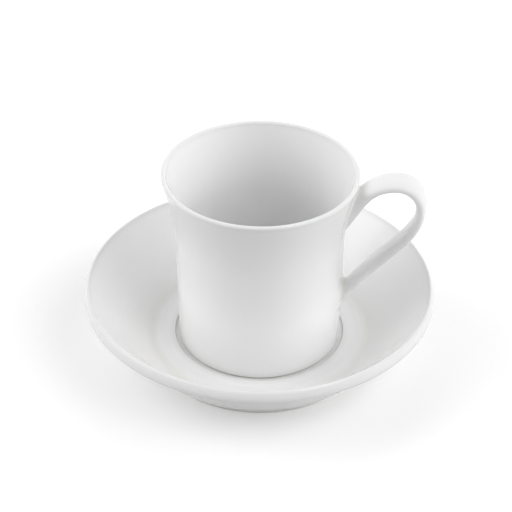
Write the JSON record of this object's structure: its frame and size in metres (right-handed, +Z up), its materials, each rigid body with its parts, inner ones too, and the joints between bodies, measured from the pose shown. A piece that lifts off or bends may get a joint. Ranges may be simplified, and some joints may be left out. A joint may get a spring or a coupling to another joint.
{
  "type": "coffee cup with saucer",
  "caption": "Straight-sided porcelain coffee cup with a flared lip and an ear-shaped strap handle, standing in the well of a deep saucer with a rolled rim.",
  "frame": {"origin": "on the axis of cup and saucer, at the table under the saucer's foot ring", "axes": "+Z up along the axis of cup and saucer, +X towards the handle"},
  "size_m": [0.1484, 0.1484, 0.092],
  "materials": {
    "saucer_glaze": "clear gloss glaze on white porcelain",
    "cup_glaze": "clear gloss glaze on white porcelain",
    "handle_glaze": "clear gloss glaze on white porcelain",
    "slip_glaze": "fired slip under the same clear glaze"
  },
  "bodies": {
    "saucer": {"saucer": "saucer_glaze"},
    "cup": {"cup_body": "cup_glaze", "handle": "handle_glaze", "upper_slip_joint": "slip_glaze", "lower_slip_joint": "slip_glaze"}
  },
  "joints": [
    {"name": "cup_lift", "type": "slide", "parent": "saucer", "child": "cup", "axis": [0, 0, 1], "range_m": [0, 0.1]}
  ]
}
